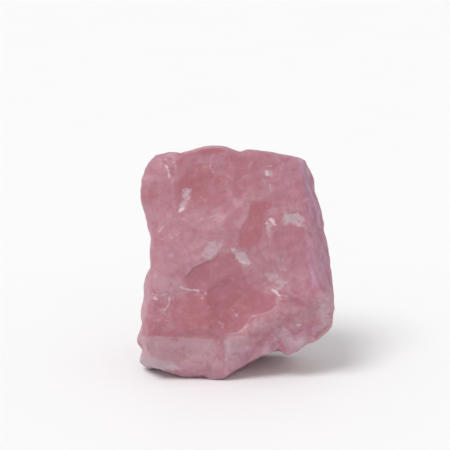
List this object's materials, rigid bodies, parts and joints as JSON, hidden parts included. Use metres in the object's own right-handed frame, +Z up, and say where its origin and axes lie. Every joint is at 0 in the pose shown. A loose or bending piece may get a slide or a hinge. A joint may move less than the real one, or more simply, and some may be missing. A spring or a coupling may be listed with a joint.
{
  "type": "rough rose quartz chunk",
  "caption": "Rough chunk of rose quartz: a blocky, milky pink broken stone that stands on a flat broken base with its broad face leaning back.",
  "frame": {"origin": "on the base plane, below the middle of the stone's bounding box", "axes": "+Z up from the base, -Y out of the broad front face, +X to the right as seen from the front"},
  "size_m": [0.0674, 0.0452, 0.0804],
  "materials": {
    "rose_quartz": "waxy broken surface, milky and faintly translucent at the edges"
  },
  "bodies": {
    "root": {"quartz_chunk": "rose_quartz"}
  },
  "joints": []
}
